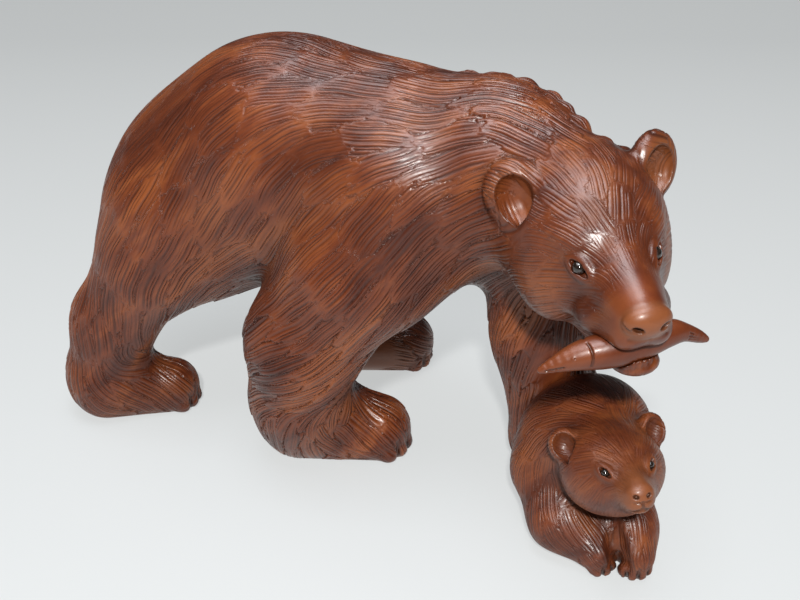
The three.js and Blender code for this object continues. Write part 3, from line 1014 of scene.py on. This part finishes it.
def cub_coat():
    """Directions of the cub's fur, its body's given in the glued face's frame."""
    def w(p):
        return tuple(GLUE.out(p))

    def d(x, y, z):
        return tuple(GLUE.along((x, y, z)))

    g = [
        (w((75, -45, 60)), d(-0.1, 1, -0.2), 16), (w((52, -55, 40)), d(-0.3, 0.6, -1), 16),
        (w((100, -55, 40)), d(0.2, 0.5, -1), 16), (w((55, -70, 22)), d(0.3, -0.4, -1), 14),
        (w((76, -86, 12)), d(0.8, -0.6, -0.6), 10), (w((92, -88, 14)), d(0.1, -0.6, -1), 10),
        (w((95, -74, 26)), d(0.1, -0.2, -1), 12), (w((80, -76, 24)), d(0, -0.2, -1), 12),
    ]
    for at, way, reach in [
        ((24, 0, 3), (1, 0, 0.3), 7), ((10, 0, 16), (1, 0, 0.2), 9), ((-8, 0, 17), (1, 0, -0.4), 10),
        ((10, 12, 8), (0.8, 0.8, 0.1), 7), ((10, -12, 8), (0.8, -0.8, 0.1), 7),
        ((8, 17, -5), (0.9, 0.3, -0.6), 9), ((8, -17, -5), (0.9, -0.3, -0.6), 9),
        ((14, 8, -14), (0.8, 0.2, -0.8), 8), ((14, -8, -14), (0.8, -0.2, -0.8), 8),
    ]:
        g.append((tuple(CUB_HEAD.out(at)), head_way(CUB_HEAD, *way), reach))
    return Coat(g, 0.2, 23)


def cub_bare(p):
    """1 where the wood is smooth: tip of the muzzle, ear cups."""
    q = in_place(CUB_HEAD, p)
    bare = fade(q[:, 0] + 0.2 * q[:, 2], 25, 28)
    for s, at in zip((1, -1), CUB_EARS):
        cup = in_cup(p, CUB_HEAD, s, at, 0.4, (4.6, 5.4), (0.8, 1.0), (-2, 6))
        bare = np.maximum(bare, 0.45 * cup)
    return bare


def cub_cup_shade(p):
    """1 in the hollows of the cub's ears, which painted shade darkens."""
    return sum(in_cup(p, CUB_HEAD, s, at, 0.4, (4.4, 5.2), (0.6, 0.95), (-2, 6))
               for s, at in zip((1, -1), CUB_EARS))


def cub_pale(p):
    """1 on the tip of the cub's muzzle."""
    q = in_place(CUB_HEAD, p)
    return fade(q[:, 0] + 0.15 * q[:, 2], 19, 27)


def cub_zones(p):
    """How near the face and the muzzle, from 0 to 1."""
    q = in_place(CUB_HEAD, p)
    face = fade(q[:, 0], -8, 6) * (np.linalg.norm(q, axis=1) < 40)
    return face, face * fade(q[:, 0], 14, 20)


def cub_tufts(p):
    """Length and width of the tufts."""
    face, muzzle = cub_zones(p)
    return 14 - 6 * face - 3 * muzzle, 5.2 - 1.8 * face - 1.2 * muzzle


def cub_depths(p):
    """Spacing and depth of the gouge lines, and depth of the tufts' borders."""
    face, muzzle = cub_zones(p)
    return 1.2 - 0.15 * face, 0.34 - 0.12 * face - 0.08 * muzzle, 0.4 - 0.24 * face - 0.06 * muzzle


def build_cub():
    skin = cub_skin()
    clay = cub_face(cub_skin())
    centres = []
    *sites, r, sunk = EYES["cub"]
    for sign, (across, up) in zip((1, -1), sites):
        point = skin.meet(CUB_HEAD, across, up)
        centres.append(point - CUB_HEAD.axes[:, 0] * sunk)
        lids(clay, point, centres[-1], lid_frame(skin, CUB_HEAD, point, sign), r)
    cub_paws(clay)
    clay.half(lambda q: -glue_side(GLUE_FACE - GLUE_GAP / 2, q))
    p, quads = first_mesh(clay, (50, -86, -4), (136, 4, 72), CUB_VOXEL)
    p, quads = settle(clay, p, quads)
    bare, pale = cub_bare(p), cub_pale(p)
    p, marks = furred(clay, p, quads, cub_coat(), round_eyes(cub_bare, centres, 3.8),
                      cub_tufts, cub_depths, seed=31, tries=6000)
    # painted shade: crease darkening plus painted shade in the ear cups
    hollow = np.clip(marks["hollow"] + cub_cup_shade(p), 0, 1)
    marks.update(bare=bare, pale=pale, hollow=hollow)
    piece = mesh_object("cub_bear_carving", p, quads, marks)
    finished(piece, "cub_bear", carved_wood("varnished_cub_wood", dull=0.1))
    return centres


def build_salmon():
    clay = salmon_detail(salmon_clay())
    p, quads = first_mesh(clay, *salmon_room(), SALMON_VOXEL)
    p, quads = settle(clay, p, quads)
    n = quad_normals(p, quads)
    # the fish's own darker tone (0.3) plus painted shade in its creases
    marks = {"bare": np.ones(len(p)), "pale": 0.06 * np.ones(len(p)),
             "hollow": 0.3 + 0.5 * hollowness(clay, p, n, 3.0), "deep": hollowness(clay, p, n, 0.9)}
    piece = mesh_object("salmon_carving", p, quads, marks)
    finished(piece, "salmon", carved_wood("varnished_smooth_wood", furry=False))


def salmon_room():
    ends = np.array([HEAD.out(j[:3]) for j in SALMON_RUN])
    return ends.min(0) - 12, ends.max(0) + 12


def build_eye(node, centre, r, look):
    """A glass bead, slightly domed over the iris."""
    rows, columns = 24, 36
    polar = np.linspace(0, np.pi, rows + 1)[1:-1]
    around = np.linspace(0, 2 * np.pi, columns, endpoint=False)
    a, b = np.meshgrid(polar, around, indexing="ij")
    dome = 1 + 0.06 * np.exp(-(a / 0.55) ** 2)
    local = np.stack([np.cos(a) * dome, np.sin(a) * np.cos(b) * dome, np.sin(a) * np.sin(b) * dome], -1)
    local = np.concatenate([local.reshape(-1, 3), [(1.06, 0, 0), (-1, 0, 0)]]) * r
    x = look / np.linalg.norm(look)
    y = np.cross((0, 0, 1.0), x)
    y /= np.linalg.norm(y)
    p = centre + local @ np.array([x, y, np.cross(x, y)])
    faces = []
    for i in range(rows - 2):
        here, below = i * columns, (i + 1) * columns
        for j in range(columns):
            k = (j + 1) % columns
            faces.append((here + j, below + j, below + k, here + k))
    top, bottom, last = len(p) - 2, len(p) - 1, (rows - 2) * columns
    for j in range(columns):
        k = (j + 1) % columns
        faces.append((top, j, k))
        faces.append((bottom, last + k, last + j))
    name = node + "_bead"
    mesh = bpy.data.meshes.new(name)
    mesh.from_pydata(((p + SHIFT) * MM).tolist(), [], faces)
    mesh.polygons.foreach_set("use_smooth", np.ones(len(mesh.polygons), bool))
    finished(linked(name, mesh), node, eye_glass(name + "_glass"))


mother_eyes = build_mother()
cub_eyes = build_cub()
build_salmon()
for k, side in enumerate(("left", "right")):
    build_eye(f"mother_eye_{side}", mother_eyes[k], EYES["mother"][2], HEAD.axes[:, 0])
    build_eye(f"cub_eye_{side}", cub_eyes[k], EYES["cub"][2], CUB_HEAD.axes[:, 0])
for node in ("cub_peg_upper", "cub_peg_lower", "salmon_peg"):
    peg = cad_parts[node]
    peg.data.materials.clear()
    peg.data.materials.append(dowel_wood("bare_" + node))


# -------- stage, camera, light
def build_floor():
    """A pale matt floor with a weak glow of painted light, brighter towards the camera's side."""
    mesh = bpy.data.meshes.new("floor")
    half = 12.0
    mesh.from_pydata([(-half, -half, 0), (half, -half, 0), (half, half, 0), (-half, half, 0)], [],
                     [(0, 1, 2, 3)])
    floor = linked("floor", mesh)
    material, tree, shader = nodes_of("pale_floor")
    shader.inputs["Base Color"].default_value = (0.17, 0.175, 0.178, 1)
    shader.inputs["Roughness"].default_value = 0.6
    shader.inputs["Emission Color"].default_value = (0.97, 1.0, 1.0, 1)
    where = add(tree, "ShaderNodeTexCoord").outputs["Object"]
    nearer = add(tree, "ShaderNodeVectorMath", operation="DOT_PRODUCT")
    tree.links.new(where, nearer.inputs[0])
    nearer.inputs[1].default_value = (0.34, -0.94, 0.0)
    glow = add(tree, "ShaderNodeMapRange", From_Min=-0.55, From_Max=0.2, To_Min=0.40, To_Max=0.60)
    tree.links.new(nearer.outputs["Value"], glow.inputs["Value"])
    tree.links.new(glow.outputs[0], shader.inputs["Emission Strength"])
    mesh.materials.append(material)


def looking(place, target):
    way = Vector(target) - Vector(place)
    return Matrix.Translation(Vector(place)) @ way.to_track_quat("-Z", "Y").to_matrix().to_4x4()


def area_light(name, place, target, size, watts, colour=(1, 1, 1)):
    light = bpy.data.lights.new(name, "AREA")
    light.size = size
    light.energy = watts
    light.color = colour
    lamp = linked(name, light)
    lamp.matrix_world = looking(place, target)
    return lamp


def toward(azimuth, elevation):
    """A direction, its azimuth counted from the mother's right towards her head."""
    a, e = np.radians([azimuth, elevation])
    return np.array([np.sin(a) * np.cos(e), -np.cos(a) * np.cos(e), np.sin(e)])


def build_camera():
    away = 0.480
    target = (np.array([0, 0, 70.0]) + SHIFT) * MM
    camera = bpy.data.cameras.new("camera")
    camera.lens = 50
    camera.sensor_width = 36
    camera.clip_start = 0.01
    holder = linked("camera", camera)
    holder.matrix_world = looking(target + toward(20.0, 32.0) * away, target)
    bpy.context.scene.camera = holder
    return target


def build_light(aim):
    world = bpy.data.worlds.new("studio")
    bpy.context.scene.world = world
    world.use_nodes = True
    sky = world.node_tree.nodes["Background"]
    sky.inputs["Color"].default_value = (0.96, 0.98, 1.0, 1)
    sky.inputs["Strength"].default_value = 0.07
    area_light("flash", aim + toward(18, 44) * 1.5, aim, 0.09, 26.0, (1, 0.985, 0.96))
    area_light("ceiling", aim + toward(10, 82) * 1.3, aim, 0.6, 9.0, (0.9, 0.95, 1.0))
    # a wide soft box overhead that only shows as a sheen on the varnish
    sheen = area_light("sheen", aim + toward(-80, 80) * 1.2, aim, 1.1, 17.5, (0.93, 0.96, 1.0))
    sheen.visible_diffuse = False


build_floor()
build_light(build_camera())
bpy.context.scene.view_settings.view_transform = "Standard"
